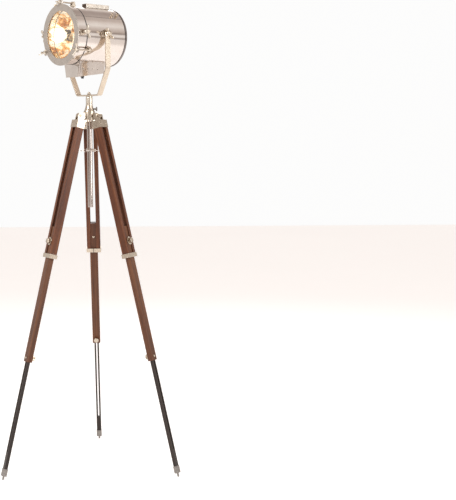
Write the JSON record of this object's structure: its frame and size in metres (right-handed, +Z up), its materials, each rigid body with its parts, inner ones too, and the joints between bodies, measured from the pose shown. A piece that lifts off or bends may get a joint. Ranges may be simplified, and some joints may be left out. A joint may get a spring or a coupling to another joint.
{
  "type": "tripod floor lamp",
  "caption": "Searchlight floor lamp: a polished metal drum head with a louvred glass front in a U-shaped yoke, on a telescopic wooden tripod with a sliding column.",
  "frame": {"origin": "on the floor under the centre column, at the centre of the three feet", "axes": "+Z up along the column; the back leg points to +Y; the lamp faces between -X and -Y at rest"},
  "size_m": [0.67, 0.5802, 1.7787],
  "materials": {
    "wood": "satin varnished reddish brown hardwood",
    "dark_wood": "dark stained hardwood, satin",
    "cast_nickel": "nickel plated castings, lightly brushed",
    "nickel_strap": "satin nickel plated strap",
    "chrome": "polished chrome on sheet metal",
    "satin_steel": "flat satin ring with fine scratches",
    "blade_steel": "thin satin blades",
    "glass": "clear flat glass",
    "mirror": "polished reflector",
    "bulb_glass": "frosted bulb, lit warm",
    "black": "black rubber and plastic"
  },
  "bodies": {
    "base": {"hub": "cast_nickel", "leg_bolts": "cast_nickel", "chain_ring": "chrome"},
    "column": {"column_tube": "chrome", "yoke_socket": "cast_nickel", "yoke_bolt": "cast_nickel"},
    "column_screw": {"column_screw": "black"},
    "yoke": {"yoke": "nickel_strap"},
    "head": {"front_ring": "satin_steel", "front_glass": "glass", "front_rim": "chrome", "gasket": "black", "drum": "chrome", "rear_cover": "chrome", "reflector": "mirror", "louvre_blades": "blade_steel", "bulb": "bulb_glass", "lamp_holder": "black", "clamp_lugs": "cast_nickel", "side_studs": "cast_nickel", "tilt_bosses": "cast_nickel", "base_box": "chrome", "cable_gland": "black", "vent_hood": "chrome"},
    "leg_back": {"slats_back": "wood", "leg_fittings_back": "cast_nickel", "chain_back": "chrome"},
    "middle_back": {"middle_stage_back": "wood"},
    "lower_back": {"lower_stage_back": "dark_wood", "foot_back": "cast_nickel"},
    "upper_knob_back": {"upper_knob_back": "cast_nickel"},
    "lower_knob_back": {"lower_knob_back": "cast_nickel"},
    "leg_left": {"slats_left": "wood", "leg_fittings_left": "cast_nickel", "chain_left": "chrome"},
    "middle_left": {"middle_stage_left": "wood"},
    "lower_left": {"lower_stage_left": "dark_wood", "foot_left": "cast_nickel"},
    "upper_knob_left": {"upper_knob_left": "cast_nickel"},
    "lower_knob_left": {"lower_knob_left": "cast_nickel"},
    "leg_right": {"slats_right": "wood", "leg_fittings_right": "cast_nickel", "chain_right": "chrome"},
    "middle_right": {"middle_stage_right": "wood"},
    "lower_right": {"lower_stage_right": "dark_wood", "foot_right": "cast_nickel"},
    "upper_knob_right": {"upper_knob_right": "cast_nickel"},
    "lower_knob_right": {"lower_knob_right": "cast_nickel"},
    "pivot_nut_left": {"pivot_nut_left": "cast_nickel"},
    "side_nut_left": {"side_nut_left": "cast_nickel"},
    "pivot_nut_right": {"pivot_nut_right": "cast_nickel"},
    "side_nut_right": {"side_nut_right": "cast_nickel"},
    "swing_bolt_top": {"swing_bolt_top": "cast_nickel"},
    "clamp_nut_top": {"clamp_nut_top": "cast_nickel"},
    "swing_bolt_left": {"swing_bolt_left": "cast_nickel"},
    "clamp_nut_left": {"clamp_nut_left": "cast_nickel"},
    "swing_bolt_right": {"swing_bolt_right": "cast_nickel"},
    "clamp_nut_right": {"clamp_nut_right": "cast_nickel"},
    "terminal_screw_1": {"terminal_screw_1": "cast_nickel"},
    "terminal_screw_2": {"terminal_screw_2": "cast_nickel"}
  },
  "joints": [
    {"name": "leg_fold_back", "type": "hinge", "parent": "base", "child": "leg_back", "pos_m": [0, 0.04, 1.349], "axis": [-1, 0, 0], "range_deg": [0, 13.5], "deforming": ["chain_back"]},
    {"name": "middle_slide_back", "type": "slide", "parent": "leg_back", "child": "middle_back", "axis": [0, -0.2424, 0.9702], "range_m": [-0.03, 0.32]},
    {"name": "lower_slide_back", "type": "slide", "parent": "middle_back", "child": "lower_back", "axis": [0, -0.2424, 0.9702], "range_m": [-0.04, 0.28]},
    {"name": "upper_knob_turn_back", "type": "hinge", "parent": "middle_back", "child": "upper_knob_back", "pos_m": [0, 0.15755, 0.87846], "axis": [0, 0.9702, 0.2424], "continuous": true},
    {"name": "lower_knob_turn_back", "type": "hinge", "parent": "middle_back", "child": "lower_knob_back", "pos_m": [0, 0.26492, 0.44867], "axis": [0, -0.9702, -0.2424], "continuous": true},
    {"name": "leg_fold_left", "type": "hinge", "parent": "base", "child": "leg_left", "pos_m": [-0.03464, -0.02, 1.349], "axis": [0.5, -0.866, 0], "range_deg": [0, 13.5], "deforming": ["chain_left"]},
    {"name": "middle_slide_left", "type": "slide", "parent": "leg_left", "child": "middle_left", "axis": [0.2099, 0.1212, 0.9702], "range_m": [-0.03, 0.32]},
    {"name": "lower_slide_left", "type": "slide", "parent": "middle_left", "child": "lower_left", "axis": [0.2099, 0.1212, 0.9702], "range_m": [-0.04, 0.28]},
    {"name": "upper_knob_turn_left", "type": "hinge", "parent": "middle_left", "child": "upper_knob_left", "pos_m": [-0.13644, -0.07877, 0.87846], "axis": [-0.8402, -0.4851, 0.2424], "continuous": true},
    {"name": "lower_knob_turn_left", "type": "hinge", "parent": "middle_left", "child": "lower_knob_left", "pos_m": [-0.22942, -0.13246, 0.44867], "axis": [0.8402, 0.4851, -0.2424], "continuous": true},
    {"name": "leg_fold_right", "type": "hinge", "parent": "base", "child": "leg_right", "pos_m": [0.03464, -0.02, 1.349], "axis": [0.5, 0.866, 0], "range_deg": [0, 13.5], "deforming": ["chain_right"]},
    {"name": "middle_slide_right", "type": "slide", "parent": "leg_right", "child": "middle_right", "axis": [-0.2099, 0.1212, 0.9702], "range_m": [-0.03, 0.32]},
    {"name": "lower_slide_right", "type": "slide", "parent": "middle_right", "child": "lower_right", "axis": [-0.2099, 0.1212, 0.9702], "range_m": [-0.04, 0.28]},
    {"name": "upper_knob_turn_right", "type": "hinge", "parent": "middle_right", "child": "upper_knob_right", "pos_m": [0.13644, -0.07877, 0.87846], "axis": [0.8402, -0.4851, 0.2424], "continuous": true},
    {"name": "lower_knob_turn_right", "type": "hinge", "parent": "middle_right", "child": "lower_knob_right", "pos_m": [0.22942, -0.13246, 0.44867], "axis": [-0.8402, 0.4851, -0.2424], "continuous": true},
    {"name": "column_height", "type": "slide", "parent": "base", "child": "column", "axis": [0, 0, 1], "range_m": [0, 0.28]},
    {"name": "column_screw_turn", "type": "hinge", "parent": "base", "child": "column_screw", "pos_m": [0.02, 0, 1.375], "axis": [1, 0, 0], "continuous": true},
    {"name": "pan", "type": "hinge", "parent": "column", "child": "yoke", "pos_m": [0, 0, 1.4233], "axis": [0, 0, 1], "continuous": true},
    {"name": "tilt", "type": "hinge", "parent": "yoke", "child": "head", "pos_m": [0, 0, 1.6483], "axis": [-0.6381, 0.77, 0], "range_deg": [-45, 50]},
    {"name": "pivot_nut_turn_left", "type": "hinge", "parent": "head", "child": "pivot_nut_left", "pos_m": [0.08429, -0.10171, 1.6483], "axis": [0.6381, -0.77, 0], "continuous": true},
    {"name": "side_nut_turn_left", "type": "hinge", "parent": "head", "child": "side_nut_left", "pos_m": [0.01053, -0.1757, 1.6483], "axis": [0.6381, -0.77, 0], "continuous": true},
    {"name": "pivot_nut_turn_right", "type": "hinge", "parent": "head", "child": "pivot_nut_right", "pos_m": [-0.08429, 0.10171, 1.6483], "axis": [-0.6381, 0.77, 0], "continuous": true},
    {"name": "side_nut_turn_right", "type": "hinge", "parent": "head", "child": "side_nut_right", "pos_m": [-0.17069, 0.04297, 1.6483], "axis": [-0.6381, 0.77, 0], "continuous": true},
    {"name": "swing_bolt_open_top", "type": "hinge", "parent": "head", "child": "swing_bolt_top", "pos_m": [-0.05313, -0.04403, 1.7633], "axis": [-0.6381, 0.77, 0], "range_deg": [0, 100]},
    {"name": "clamp_nut_turn_top", "type": "hinge", "parent": "swing_bolt_top", "child": "clamp_nut_top", "pos_m": [-0.10086, -0.08359, 1.7633], "axis": [-0.77, -0.6381, 0], "continuous": true},
    {"name": "swing_bolt_open_left", "type": "hinge", "parent": "head", "child": "swing_bolt_left", "pos_m": [0.01263, -0.12338, 1.5848], "axis": [0.319, -0.385, 0.866], "range_deg": [0, 100]},
    {"name": "clamp_nut_turn_left", "type": "hinge", "parent": "swing_bolt_left", "child": "clamp_nut_left", "pos_m": [-0.0351, -0.16294, 1.5848], "axis": [-0.77, -0.6381, 0], "continuous": true},
    {"name": "swing_bolt_open_right", "type": "hinge", "parent": "head", "child": "swing_bolt_right", "pos_m": [-0.11889, 0.03532, 1.5848], "axis": [0.319, -0.385, -0.866], "range_deg": [0, 100]},
    {"name": "clamp_nut_turn_right", "type": "hinge", "parent": "swing_bolt_right", "child": "clamp_nut_right", "pos_m": [-0.16662, -0.00424, 1.5848], "axis": [-0.77, -0.6381, 0], "continuous": true},
    {"name": "terminal_turn_1", "type": "hinge", "parent": "head", "child": "terminal_screw_1", "pos_m": [0.09122, -0.02857, 1.72175], "axis": [0.459, -0.5539, 0.6947], "continuous": true},
    {"name": "terminal_turn_2", "type": "hinge", "parent": "head", "child": "terminal_screw_2", "pos_m": [0.10739, -0.01517, 1.72175], "axis": [0.459, -0.5539, 0.6947], "continuous": true}
  ]
}
